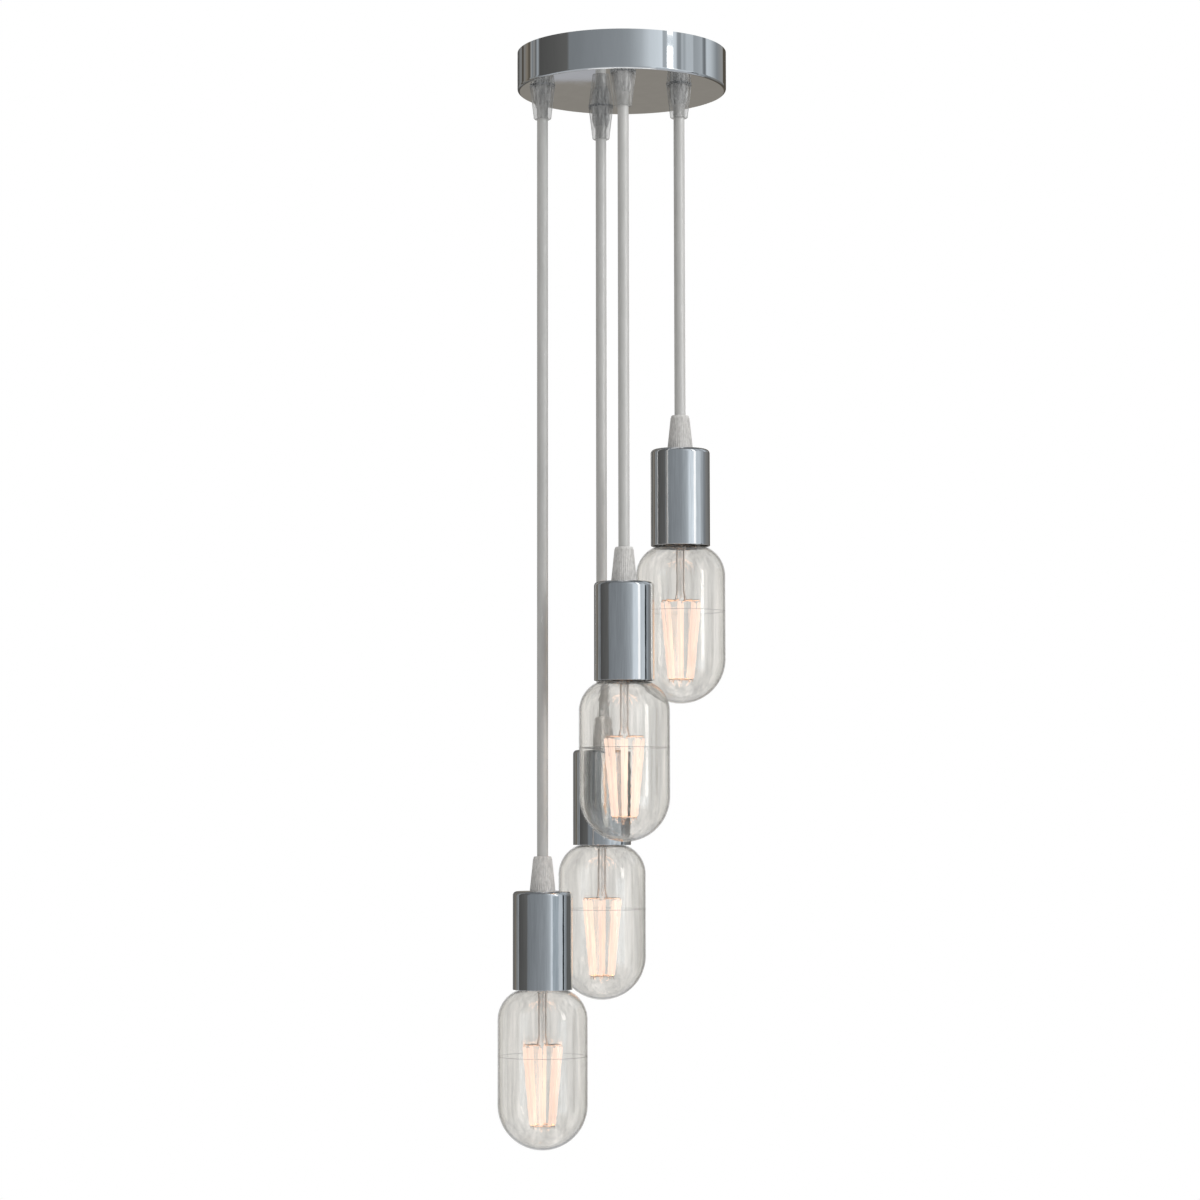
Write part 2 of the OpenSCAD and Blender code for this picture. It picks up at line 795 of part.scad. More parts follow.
// Two lead wires flare apart to crimps, a fan of spokes feeds the stick tops,
// and a ring joins the stick feet
module lead_wires(k) {
    crimp_d = 1.6 * feed_d;
    pin_d = 0.8 * spoke_d;
    color("sienna")
        hang(k) {
            for (side = [-1, 1]) {
                bend = [side * feed_r, 0, feed_bend_z];
                crimp = [side * feed_foot_r, 0, spoke_z];
                rod(bend, [side * feed_r, 0, pinch_foot], feed_d);
                translate(bend)
                    sphere(d = 1.12 * feed_d, $fn = wire_fn);
                rod(bend, crimp, 0.95 * feed_d);
                translate(crimp)
                    cylinder(h = feed_d, d = crimp_d, center = true, $fn = wire_fn);
            }
            for (i = [0:stick_count - 1]) {
                top = on_ring(i, ring_top_r);
                foot = on_ring(i, ring_foot_r);
                crimp = [sign(top[0]) * feed_foot_r, 0, spoke_z];
                tip = [top[0], top[1], spoke_z];
                rod(crimp + unit(tip - crimp) * 0.43 * crimp_d, tip, spoke_d);
                rod([top[0], top[1], -stick_top], tip, pin_d);
                rod([foot[0], foot[1], -stick_foot - hook_l], [foot[0], foot[1], -stick_foot], pin_d);
            }
            translate([0, 0, -stick_foot - spoke_d])
                rotate_extrude()
                    translate([ring_foot_r, 0])
                        circle(d = spoke_d, $fn = wire_fn);
        }
}

module filaments(k) {
    color("navajowhite")
        hang(k)
            for (i = [0:stick_count - 1]) {
                top = on_ring(i, ring_top_r);
                foot = on_ring(i, ring_foot_r);
                rod([foot[0], foot[1], -stick_foot], [top[0], top[1], -stick_top], stick_d);
            }
}

canopy();
ceiling_bracket();
fixing_screws();
terminal_block();
terminal_clamps();
grip_stems();
grip_nuts();
cord_tails();
leads_live();
leads_neutral();
leads_earth();
cord_grip(RIGHT);  // cord_grip_right
cord_grip(FRONT);  // cord_grip_front
cord_grip(BACK);  // cord_grip_back
cord_grip(LEFT);  // cord_grip_left
cord(RIGHT);  // cord_right
cord(FRONT);  // cord_front
cord(BACK);  // cord_back
cord(LEFT);  // cord_left
cord_cone(RIGHT);  // cord_cone_right
cord_cone(FRONT);  // cord_cone_front
cord_cone(BACK);  // cord_cone_back
cord_cone(LEFT);  // cord_cone_left
cup(RIGHT);  // cup_right
cup(FRONT);  // cup_front
cup(BACK);  // cup_back
cup(LEFT);  // cup_left
lampholder(RIGHT);  // lampholder_right
lampholder(FRONT);  // lampholder_front
lampholder(BACK);  // lampholder_back
lampholder(LEFT);  // lampholder_left
holder_contacts(RIGHT);  // holder_contacts_right
holder_contacts(FRONT);  // holder_contacts_front
holder_contacts(BACK);  // holder_contacts_back
holder_contacts(LEFT);  // holder_contacts_left
cap_tip(RIGHT);  // cap_tip_right
cap_tip(FRONT);  // cap_tip_front
cap_tip(BACK);  // cap_tip_back
cap_tip(LEFT);  // cap_tip_left
lamp_cap(RIGHT);  // lamp_cap_right
lamp_cap(FRONT);  // lamp_cap_front
lamp_cap(BACK);  // lamp_cap_back
lamp_cap(LEFT);  // lamp_cap_left
lamp_glass(RIGHT);  // lamp_glass_right
lamp_glass(FRONT);  // lamp_glass_front
lamp_glass(BACK);  // lamp_glass_back
lamp_glass(LEFT);  // lamp_glass_left
lamp_stem(RIGHT);  // lamp_stem_right
lamp_stem(FRONT);  // lamp_stem_front
lamp_stem(BACK);  // lamp_stem_back
lamp_stem(LEFT);  // lamp_stem_left
lead_wires(RIGHT);  // lead_wires_right
lead_wires(FRONT);  // lead_wires_front
lead_wires(BACK);  // lead_wires_back
lead_wires(LEFT);  // lead_wires_left
filaments(RIGHT);  // filaments_right
filaments(FRONT);  // filaments_front
filaments(BACK);  // filaments_back
filaments(LEFT);  // filaments_left
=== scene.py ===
import json
import math
import bpy
from mathutils import Matrix, Vector

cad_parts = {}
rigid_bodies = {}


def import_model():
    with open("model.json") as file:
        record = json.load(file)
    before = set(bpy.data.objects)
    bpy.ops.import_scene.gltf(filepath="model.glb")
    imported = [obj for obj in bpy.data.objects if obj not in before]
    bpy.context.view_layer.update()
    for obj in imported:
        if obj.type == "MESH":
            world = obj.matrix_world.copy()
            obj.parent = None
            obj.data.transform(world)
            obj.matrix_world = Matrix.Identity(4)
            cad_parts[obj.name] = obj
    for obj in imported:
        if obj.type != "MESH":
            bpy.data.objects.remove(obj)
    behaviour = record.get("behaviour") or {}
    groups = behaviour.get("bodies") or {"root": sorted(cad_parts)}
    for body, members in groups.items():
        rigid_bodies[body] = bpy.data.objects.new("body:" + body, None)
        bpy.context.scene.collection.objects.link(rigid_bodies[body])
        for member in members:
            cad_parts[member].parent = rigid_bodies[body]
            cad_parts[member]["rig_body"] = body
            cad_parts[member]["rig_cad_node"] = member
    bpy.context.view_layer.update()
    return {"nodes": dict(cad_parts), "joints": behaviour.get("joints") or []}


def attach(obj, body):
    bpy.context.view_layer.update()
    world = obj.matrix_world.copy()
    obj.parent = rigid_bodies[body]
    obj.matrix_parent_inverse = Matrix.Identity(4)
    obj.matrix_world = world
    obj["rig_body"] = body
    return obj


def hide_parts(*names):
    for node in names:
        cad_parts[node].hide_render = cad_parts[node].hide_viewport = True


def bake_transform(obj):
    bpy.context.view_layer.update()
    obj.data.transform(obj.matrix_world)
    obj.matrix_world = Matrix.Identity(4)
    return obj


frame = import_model()
print("stage: packed model loaded")

# all sizes are in metres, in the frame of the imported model: the ceiling is z = 0
mergeGap = 1e-6  # points closer than this become one


def findPendants():
    # each lamp turns about the line that its pendant hangs on, and the joint is level with the cup's rim
    spots = {}
    for joint in frame["joints"]:
        if joint["name"].startswith("lamp_turn_"):
            x, y, rim = joint["pos_m"]
            spots[joint["name"].removeprefix("lamp_turn_")] = {"x": x, "y": y, "rim": rim}
    return spots


pendants = findPendants()


def pickOnly(obj):
    bpy.ops.object.select_all(action="DESELECT")
    obj.select_set(True)
    bpy.context.view_layer.objects.active = obj


def applyPlace():
    bpy.ops.object.transform_apply(location=True, rotation=True, scale=True)


def setCamera():
    # fitted to the outlines in the photo: pitch and roll in degrees, lens in millimetres
    values = {
        "place": (-0.0167, -2.3542, -0.5627), "pitch": 4.567, "roll": -0.09, "lens": 96.47, "shift": -0.0367,
    }
    bpy.ops.object.select_all(action="DESELECT")
    bpy.ops.object.camera_add(location=values["place"])
    camera = bpy.context.object
    camera.name = "photoCamera"
    aim = Matrix.Rotation(math.radians(90 + values["pitch"]), 3, "X")
    camera.rotation_euler = (aim @ Matrix.Rotation(math.radians(values["roll"]), 3, "Z")).to_euler()
    camera.data.lens = values["lens"]
    camera.data.shift_y = values["shift"]
    camera.data.dof.use_dof = False
    bpy.context.scene.camera = camera


setCamera()
print("stage: camera set")


# helpers for materials
def newMaterial(title, sockets):
    material = bpy.data.materials.new(title)
    material.use_nodes = True
    shader = material.node_tree.nodes["Principled BSDF"]
    for socket, value in sockets.items():
        shader.inputs[socket].default_value = value
    return material, material.node_tree, shader


def emptyMaterial(title):
    material = bpy.data.materials.new(title)
    material.use_nodes = True
    material.node_tree.nodes.clear()
    return material, material.node_tree


def addNode(tree, kind, place, **settings):
    node = tree.nodes.new(kind)
    node.location = place
    for name, value in settings.items():
        setattr(node, name, value)
    return node


def addBlend(tree, place, first=None, second=None):
    # mixes two colours, given here or linked later
    blend = addNode(tree, "ShaderNodeMix", place, data_type="RGBA")
    for socket, tone in (("A", first), ("B", second)):
        if tone:
            blend.inputs[socket].default_value = (*tone, 1)
    return blend


def mixShaders(tree, factor, first, second, place):
    mix = addNode(tree, "ShaderNodeMixShader", place)
    tree.links.new(factor, mix.inputs[0])
    tree.links.new(first, mix.inputs[1])
    tree.links.new(second, mix.inputs[2])
    return mix.outputs[0]


def makeGrainGroup():
    # uneven tone of a surface: a stretched noise, with a finer one laid over it
    values = {
        "Scale": 200, "Stretch": 1, "Fineness": 6, "broadDetail": 3, "fineDetail": 2, "fineShare": 0.35,
        "darkest": 0.4, "palest": 0.95,
    }
    group = bpy.data.node_groups.new("surfaceGrain", "ShaderNodeTree")
    group.interface.new_socket("Place", in_out="INPUT", socket_type="NodeSocketVector")
    for name in ("Scale", "Stretch", "Fineness"):
        socket = group.interface.new_socket(name, in_out="INPUT", socket_type="NodeSocketFloat")
        socket.default_value = values[name]
    for name in ("Tone", "Height"):
        group.interface.new_socket(name, in_out="OUTPUT", socket_type="NodeSocketFloat")
    start = addNode(group, "NodeGroupInput", (-900, 0))
    end = addNode(group, "NodeGroupOutput", (500, 0))
    shrink = addNode(group, "ShaderNodeCombineXYZ", (-700, -100))
    shrink.inputs["X"].default_value = 1
    shrink.inputs["Y"].default_value = 1
    narrow = addNode(group, "ShaderNodeMath", (-860, -240), operation="DIVIDE")
    narrow.inputs[0].default_value = 1
    stretched = addNode(group, "ShaderNodeVectorMath", (-500, 0), operation="MULTIPLY")
    broad = addNode(group, "ShaderNodeTexNoise", (-300, 120))
    broad.inputs["Detail"].default_value = values["broadDetail"]
    finer = addNode(group, "ShaderNodeMath", (-500, -240), operation="MULTIPLY")
    fine = addNode(group, "ShaderNodeTexNoise", (-300, -160))
    fine.inputs["Detail"].default_value = values["fineDetail"]
    mix = addNode(group, "ShaderNodeMath", (0, 60), operation="MULTIPLY_ADD")
    mix.inputs[1].default_value = values["fineShare"]
    level = addNode(group, "ShaderNodeMapRange", (200, 60))
    level.inputs["From Min"].default_value = values["darkest"]
    level.inputs["From Max"].default_value = values["palest"]
    link = group.links.new
    link(start.outputs["Stretch"], narrow.inputs[1])
    link(narrow.outputs[0], shrink.inputs["Z"])
    link(start.outputs["Place"], stretched.inputs[0])
    link(shrink.outputs[0], stretched.inputs[1])
    link(stretched.outputs[0], broad.inputs["Vector"])
    link(stretched.outputs[0], fine.inputs["Vector"])
    link(start.outputs["Scale"], broad.inputs["Scale"])
    link(start.outputs["Scale"], finer.inputs[0])
    link(start.outputs["Fineness"], finer.inputs[1])
    link(finer.outputs[0], fine.inputs["Scale"])
    link(fine.outputs["Fac"], mix.inputs[0])
    link(broad.outputs["Fac"], mix.inputs[2])
    link(mix.outputs[0], level.inputs["Value"])
    link(level.outputs["Result"], end.inputs["Tone"])
    link(fine.outputs["Fac"], end.inputs["Height"])
    return group


grainGroup = makeGrainGroup()


def addGrain(tree, shader, scale, stretch=1.0, fineness=6.0, tones=None, roughness=None, bump=None):
    # lays the grain on a material: two base colours, a roughness range, and a bump (strength, distance)
    place = addNode(tree, "ShaderNodeTexCoord", (-1100, 0))
    grain = addNode(tree, "ShaderNodeGroup", (-900, 0), node_tree=grainGroup)
    grain.inputs["Scale"].default_value = scale
    grain.inputs["Stretch"].default_value = stretch
    grain.inputs["Fineness"].default_value = fineness
    tree.links.new(place.outputs["Object"], grain.inputs["Place"])
    if tones:
        blend = addBlend(tree, (-500, 200), *tones)
        tree.links.new(grain.outputs["Tone"], blend.inputs["Factor"])
        tree.links.new(blend.outputs["Result"], shader.inputs["Base Color"])
    if roughness:
        level = addNode(tree, "ShaderNodeMapRange", (-500, 0))
        level.inputs["To Min"].default_value = roughness[0]
        level.inputs["To Max"].default_value = roughness[1]
        tree.links.new(grain.outputs["Tone"], level.inputs["Value"])
        tree.links.new(level.outputs["Result"], shader.inputs["Roughness"])
    if bump:
        relief = addNode(tree, "ShaderNodeBump", (-500, -250))
        relief.inputs["Strength"].default_value = bump[0]
        relief.inputs["Distance"].default_value = bump[1]
        tree.links.new(grain.outputs["Height"], relief.inputs["Height"])
        tree.links.new(relief.outputs["Normal"], shader.inputs["Normal"])
    return grain


def addRim(tree, start, end, most, blend=0.25):
    # 0 over a piece's face, rising to most in the thin line along its outline, as clear walls close up there
    facing = addNode(tree, "ShaderNodeLayerWeight", (-900, -700))
    facing.inputs["Blend"].default_value = blend
    rim = addNode(tree, "ShaderNodeMapRange", (-700, -700))
    rim.inputs["From Min"].default_value = start
    rim.inputs["From Max"].default_value = end
    rim.inputs["To Max"].default_value = most
    tree.links.new(facing.outputs["Facing"], rim.inputs["Value"])
    return rim.outputs["Result"]


def addSheer(tree, shader, grain, least, most, rimCover):
    # how far a clear plastic covers what is behind it, by its grain and along its outline
    values = {"rimStart": 0.22, "rimEnd": 0.6}
    cover = addNode(tree, "ShaderNodeMapRange", (-700, -500))
    cover.inputs["To Min"].default_value = least
    cover.inputs["To Max"].default_value = most
    both = addNode(tree, "ShaderNodeMath", (-400, -500), operation="MAXIMUM")
    tree.links.new(grain.outputs["Tone"], cover.inputs["Value"])
    tree.links.new(cover.outputs["Result"], both.inputs[0])
    tree.links.new(addRim(tree, values["rimStart"], values["rimEnd"], rimCover), both.inputs[1])
    tree.links.new(both.outputs[0], shader.inputs["Alpha"])


def addClearing(tree, shader, rimClearing):
    # glass that lets light through to what it shades, and whose outline stays pale
    values = {"rimStart": 0.45, "rimEnd": 0.64}
    path = addNode(tree, "ShaderNodeLightPath", (-700, -1000))
    most = addNode(tree, "ShaderNodeMath", (-400, -800), operation="MAXIMUM")
    cover = addNode(tree, "ShaderNodeMath", (-200, -800), operation="SUBTRACT")
    cover.inputs[0].default_value = 1
    tree.links.new(path.outputs["Is Shadow Ray"], most.inputs[0])
    tree.links.new(addRim(tree, values["rimStart"], values["rimEnd"], rimClearing), most.inputs[1])
    tree.links.new(most.outputs[0], cover.inputs[1])
    tree.links.new(cover.outputs[0], shader.inputs["Alpha"])


# each finish: the values of its shader, its grain, and for clear ones how far they cover or clear
finishes = {
    # chrome with faint upright polishing marks, and the inside of the cups coloured near black as painted
    # shade, in place of its metal
    "polishedChrome": {
        "sockets": {"Metallic": 1.0},
        "grain": {"scale": 90, "stretch": 7, "tones": ((0.82, 0.83, 0.835), (0.88, 0.89, 0.895)),
                  "roughness": (0.012, 0.03), "bump": (0.02, 0.0001)},
    },
    "cupChrome": {
        "sockets": {"Metallic": 1.0},
        "grain": {"scale": 260, "stretch": 14, "fineness": 4,
                  "tones": ((0.74, 0.75, 0.76), (0.92, 0.93, 0.94)),
                  "roughness": (0.025, 0.08), "bump": (0.05, 0.0002)},
    },
    # painted shade: the inside of each cup, near black
    "cupInsidePaintedShade": {
        "sockets": {},
        "grain": {"scale": 160, "tones": ((0.006, 0.005, 0.004), (0.02, 0.016, 0.013)),
                  "roughness": (0.3, 0.42), "bump": (0.08, 0.0001)},
    },
    # the fittings in the canopy and the caps of the lamps
    "zincPlate": {
        "sockets": {"Metallic": 1.0},
        "grain": {"scale": 160, "tones": ((0.52, 0.52, 0.49), (0.70, 0.70, 0.68)),
                  "roughness": (0.28, 0.42), "bump": (0.1, 0.0001)},
    },
    "plainBrass": {
        "sockets": {"Metallic": 1.0},
        "grain": {"scale": 220, "tones": ((0.62, 0.43, 0.18), (0.80, 0.60, 0.30)),
                  "roughness": (0.2, 0.34), "bump": (0.06, 0.0001)},
    },
    "capAluminium": {
        "sockets": {"Metallic": 1.0},
        "grain": {"scale": 180, "tones": ((0.66, 0.65, 0.61), (0.80, 0.79, 0.75)),
                  "roughness": (0.25, 0.38), "bump": (0.08, 0.0001)},
    },
    "ivoryPlastic": {
        "sockets": {},
        "grain": {"scale": 260, "tones": ((0.72, 0.68, 0.56), (0.80, 0.77, 0.66)),
                  "roughness": (0.42, 0.55), "bump": (0.08, 0.0001)},
    },
    # clear plastics: thin, streaked along their height, and light enough inside for the cord to show; on the
    # grip caps the pale, more opaque streaks are partly the plastic's own streaks and partly painted
    # highlights
    "stemPlastic": {
        "sockets": {"IOR": 1.45},
        "grain": {"scale": 420, "stretch": 8, "tones": ((0.34, 0.35, 0.36), (0.84, 0.85, 0.86)),
                  "roughness": (0.12, 0.25), "bump": (0.4, 0.0004)},
        "sheer": {"least": 0.18, "most": 0.5, "rimCover": 0.6},
    },
    "clearGreyPlastic": {
        "sockets": {"IOR": 1.5},
        # pale streaks: partly the plastic's own, partly painted highlights
        "grain": {"scale": 480, "stretch": 10, "fineness": 3,
                  "tones": ((0.13, 0.13, 0.125), (0.88, 0.88, 0.87)),
                  "roughness": (0.05, 0.14), "bump": (0.8, 0.0008)},
        "sheer": {"least": 0.18, "most": 0.5, "rimCover": 0.8},
    },
    # cones, cords, lampholders and the leads in the canopy
    "ribbedGreyPlastic": {
        "sockets": {"Specular IOR Level": 0.35},
        "grain": {"scale": 700, "stretch": 2, "tones": ((0.50, 0.49, 0.475), (0.76, 0.75, 0.735)),
                  "roughness": (0.45, 0.6), "bump": (0.4, 0.0002)},
    },
    "greySheath": {
        "sockets": {"Specular IOR Level": 1.0, "IOR": 1.6},
        "grain": {"scale": 260, "stretch": 6, "tones": ((0.485, 0.48, 0.465), (0.565, 0.56, 0.545)),
                  "roughness": (0.2, 0.28), "bump": (0.1, 0.0001)},
    },
    "blackHolder": {
        "sockets": {},
        "grain": {"scale": 220, "tones": ((0.012, 0.012, 0.013), (0.03, 0.03, 0.03)),
                  "roughness": (0.28, 0.4), "bump": (0.06, 0.0001)},
    },
    "capInsulator": {
        "sockets": {},
        "grain": {"scale": 260, "tones": ((0.01, 0.01, 0.012), (0.05, 0.05, 0.055)),
                  "roughness": (0.12, 0.25), "bump": (0.06, 0.0001)},
    },
    "brownLead": {
        "sockets": {},
        "grain": {"scale": 300, "tones": ((0.13, 0.05, 0.02), (0.20, 0.09, 0.04)),
                  "roughness": (0.35, 0.48), "bump": (0.05, 0.0001)},
    },
    "blueLead": {
        "sockets": {},
        "grain": {"scale": 300, "tones": ((0.02, 0.09, 0.28), (0.04, 0.14, 0.38)),
                  "roughness": (0.35, 0.48), "bump": (0.05, 0.0001)},
    },
    # the lamps: clear envelope, smoky stem, the grey line painted round the glass as a reflection, and the
    # wires
    "lampGlass": {
        "sockets": {"Transmission Weight": 1.0, "IOR": 1.45, "Roughness": 0.0},
        # the upright streaks in the tint are painted reflections of the studio's strips
        "grain": {"scale": 110, "stretch": 12, "fineness": 4,
                  "tones": ((0.68, 0.67, 0.65), (0.95, 0.935, 0.91)), "bump": (0.04, 0.0008)},
        "rimClearing": 0.8,
    },
    "stemGlass": {
        "sockets": {"IOR": 1.47},
        "grain": {"scale": 260, "stretch": 6, "tones": ((0.55, 0.54, 0.53), (0.85, 0.84, 0.83)),
                  "roughness": (0.04, 0.1), "bump": (0.06, 0.0003)},
        "sheer": {"least": 0.2, "most": 0.4, "rimCover": 0.6},
    },
    # a grey band of glass along the groove: the painted reflection of a dark line
    "glassLinePaintedReflection": {
        "sockets": {"Transmission Weight": 1.0, "IOR": 1.45},
        "grain": {"scale": 200, "tones": ((0.32, 0.31, 0.30), (0.56, 0.55, 0.54)), "roughness": (0.0, 0.1)},
        "rimClearing": 0.6,
    },
    "dullCopper": {
        "sockets": {"Metallic": 1.0},
        "grain": {"scale": 500, "stretch": 3, "tones": ((0.48, 0.42, 0.39), (0.72, 0.66, 0.62)),
                  "roughness": (0.35, 0.5), "bump": (0.1, 0.0001)},
    },
}


def makeFinish(title, sockets, grain, sheer=None, rimClearing=None):
    material, tree, shader = newMaterial(title, sockets)
    grainNode = addGrain(tree, shader, **grain)
    if sheer:
        addSheer(tree, shader, grainNode, **sheer)
    if rimClearing:
        addClearing(tree, shader, rimClearing)
    return material


def makeEarthLead():
    # green below and yellow above, by the way each face points
    values = {"green": (0.05, 0.24, 0.05, 1), "yellow": (0.80, 0.66, 0.06, 1), "change": 0.5, "rough": 0.4}
    material, tree, shader = newMaterial("earthLead", {"Roughness": values["rough"]})
    side = addNode(tree, "ShaderNodeTexCoord", (-900, 0))
    parts = addNode(tree, "ShaderNodeSeparateXYZ", (-700, 0))
    stripe = addNode(tree, "ShaderNodeValToRGB", (-500, 0))
    stripe.color_ramp.interpolation = "CONSTANT"
    stripe.color_ramp.elements[0].color = values["green"]
    stripe.color_ramp.elements[1].color = values["yellow"]
    stripe.color_ramp.elements[1].position = values["change"]
    tree.links.new(side.outputs["Normal"], parts.inputs[0])
    tree.links.new(parts.outputs["Z"], stripe.inputs["Fac"])
    tree.links.new(stripe.outputs["Color"], shader.inputs["Base Color"])
    return material


def makeGlowingStick():
    # mirrored, the sticks show as orange and as bright as they are; seen straight on, they stay below white
    values = {
        "coat": (0.06, 0.04, 0.02, 1), "rough": 0.6, "strength": 1.28, "patches": 500,
        "dull": (0.98, 0.73, 0.63), "bright": (1.0, 0.79, 0.69), "mirrored": (1.0, 0.60, 0.38),
        "inGlass": (6.5, 3.6, 2.0),
    }
    material, tree, shader = newMaterial("glowingStick", {
        "Base Color": values["coat"], "Roughness": values["rough"], "Emission Strength": values["strength"],
    })
    place = addNode(tree, "ShaderNodeTexCoord", (-900, 0))
    coat = addNode(tree, "ShaderNodeTexNoise", (-700, 0))
    coat.inputs["Scale"].default_value = values["patches"]
    heat = addBlend(tree, (-500, 0), values["dull"], values["bright"])
    path = addNode(tree, "ShaderNodeLightPath", (-900, -300))
    once = addNode(tree, "ShaderNodeMath", (-700, -200), operation="MINIMUM")
    once.inputs[1].default_value = 1
    near = addNode(tree, "ShaderNodeMath", (-700, -400), operation="SUBTRACT", use_clamp=True)
    mirrored = addBlend(tree, (-250, 0), second=values["mirrored"])
    inGlass = addBlend(tree, (0, 0), second=values["inGlass"])
    tree.links.new(place.outputs["Object"], coat.inputs["Vector"])
    tree.links.new(coat.outputs["Fac"], heat.inputs["Factor"])
    tree.links.new(path.outputs["Glossy Depth"], once.inputs[0])
    tree.links.new(path.outputs["Is Glossy Ray"], near.inputs[0])
    tree.links.new(path.outputs["Is Transmission Ray"], near.inputs[1])
    tree.links.new(once.outputs[0], mirrored.inputs["Factor"])
    tree.links.new(heat.outputs["Result"], mirrored.inputs["A"])
    tree.links.new(near.outputs[0], inGlass.inputs["Factor"])
    tree.links.new(mirrored.outputs["Result"], inGlass.inputs["A"])
    tree.links.new(inGlass.outputs["Result"], shader.inputs["Emission Color"])
    return material


materials = {title: makeFinish(title, **finish) for title, finish in finishes.items()}
materials["earthLead"] = makeEarthLead()
materials["glowingStick"] = makeGlowingStick()
print("stage: materials made")


def dress(obj, *titles):
    obj.data.materials.clear()
    for title in titles:
        obj.data.materials.append(materials[title])


def makeCords():
    # each cord leaves its grip, hangs plumb and ends inside the lampholder
    values = {
        "radius": 0.004, "sides": 32, "exit": -0.054, "end": 0.054305, "bend": 0.042, "bendStep": 0.003,
        "smooth": 40,
    }
    plumbShares = (
        0, 0.05, 0.1, 0.16, 0.22, 0.28, 0.34, 0.4, 0.46, 0.52, 0.58, 0.64, 0.7, 0.76, 0.82, 0.88, 0.94, 1,
    )
    bendSteps = int(values["bend"] / values["bendStep"])
    bendReach = values["bend"] + values["bendStep"]
    for side, spot in pendants.items():
        run = values["exit"] - (spot["rim"] + values["end"])
        heights = [values["exit"] - i * values["bendStep"] for i in range(bendSteps + 1)]
        heights += [values["exit"] - share * run for share in plumbShares if share * run > bendReach]
        bpy.ops.object.select_all(action="DESELECT")
        bpy.ops.mesh.primitive_circle_add(vertices=values["sides"], radius=values["radius"], fill_type="NGON",
                                          location=(spot["x"], spot["y"], values["exit"]))
        cord = bpy.context.object
        cord.name = "hangingCord_" + side
        bpy.ops.object.mode_set(mode="EDIT")
        for upper, lower in zip(heights, heights[1:]):
            bpy.ops.mesh.extrude_region_move(TRANSFORM_OT_translate={"value": (0, 0, lower - upper)})
        bpy.ops.mesh.select_all(action="SELECT")
        bpy.ops.mesh.normals_make_consistent(inside=False)
        bpy.ops.object.mode_set(mode="OBJECT")
        applyPlace()
        bpy.ops.object.shade_smooth_by_angle(angle=math.radians(values["smooth"]))
        dress(cord, "greySheath")
        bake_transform(cord)
        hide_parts("cord_" + side)


makeCords()
print("stage: cords hung")


# turned pieces: half an outline, spun round the z axis
def arcPoints(centreX, centreZ, radius, start, end, count):
    turns = [math.radians(start + (end - start) * i / count) for i in range(count + 1)]
    return [(centreX + radius * math.cos(turn), centreZ + radius * math.sin(turn)) for turn in turns]


def turnOutline(title, outline, steps, smooth):
    # a plane merged to one point is extruded along the outline, from corner to corner, and spun
    bpy.ops.object.select_all(action="DESELECT")
    bpy.ops.mesh.primitive_plane_add(size=1, location=(0, 0, 0))
    piece = bpy.context.object
    piece.name = title
    bpy.ops.object.mode_set(mode="EDIT")
    bpy.ops.mesh.select_all(action="SELECT")
    bpy.ops.mesh.merge(type="CENTER")
    bpy.ops.transform.translate(value=(outline[0][0], 0, outline[0][1]))
    for (fromX, fromZ), (toX, toZ) in zip(outline, outline[1:]):
        bpy.ops.mesh.extrude_region_move(TRANSFORM_OT_translate={"value": (toX - fromX, 0, toZ - fromZ)})
    bpy.ops.mesh.select_all(action="SELECT")
    bpy.ops.mesh.remove_doubles(threshold=mergeGap)
    bpy.ops.mesh.spin(steps=steps, angle=math.tau, center=(0, 0, 0), axis=(0, 0, 1))
    bpy.ops.mesh.select_all(action="SELECT")
    bpy.ops.mesh.remove_doubles(threshold=mergeGap)
    bpy.ops.mesh.normals_make_consistent(inside=False)
    bpy.ops.object.mode_set(mode="OBJECT")
    applyPlace()
    bpy.ops.object.shade_smooth_by_angle(angle=math.radians(smooth))
    return piece


def hangCopies(model, bodyStem, nodeStem):
    # one copy of the model for each pendant, with its own mesh, placed from its cup rim
    for side, spot in pendants.items():
        bpy.ops.object.select_all(action="DESELECT")
        copy = model.copy()
        copy.data = model.data.copy()
        copy.name = model.name + "_" + side
        bpy.context.collection.objects.link(copy)
        copy.location = (spot["x"], spot["y"], spot["rim"])
        pickOnly(copy)
        applyPlace()
        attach(copy, bodyStem + "_" + side)
        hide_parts(nodeStem + "_" + side)
    bpy.data.objects.remove(model)


def makeCups():
    values = {
        "radius": 0.0215, "height": 0.0705, "wall": 0.001, "edge": 0.003, "hole": 0.0066, "lip": 0.0003,
        "near": 0.0003, "crown": 0.004, "edgeSteps": 10, "insideSteps": 8, "lipSteps": 3, "slack": 0.0001,
        "steps": 128, "smooth": 50,
    }
    radius, height, wall, lip, near = (values[name] for name in ("radius", "height", "wall", "lip", "near"))
    edge, edgeX, edgeZ = values["edge"], values["radius"] - values["edge"], values["height"] - values["edge"]
    outline = [(values["hole"], height), (edgeX - values["crown"], height)]
    outline += arcPoints(edgeX, edgeZ, edge, 90, 0, values["edgeSteps"])
    # rings of points close to the round edges keep the wall's reflections straight
    outline += [(radius, edgeZ - near), (radius, lip + near)]
    outline += arcPoints(radius - lip, lip, lip, 0, -90, values["lipSteps"])
    outline += arcPoints(radius - wall + lip, lip, lip, -90, -180, values["lipSteps"])
    outline += arcPoints(edgeX, edgeZ, edge - wall, 0, 90, values["insideSteps"])
    outline += [(values["hole"], height - wall)]
    model = turnOutline("cupShell", outline + outline[:1], values["steps"], values["smooth"])
    dress(model, "cupChrome", "cupInsidePaintedShade")
    # the faces inside the cup take the near-black painted shade
    for face in model.data.polygons:
        spot = face.center
        inside = math.hypot(spot.x, spot.y) < radius - wall + values["slack"]
        face.material_index = int(inside and lip < spot.z < height - wall + values["slack"])
    hangCopies(model, "pendant", "cup")


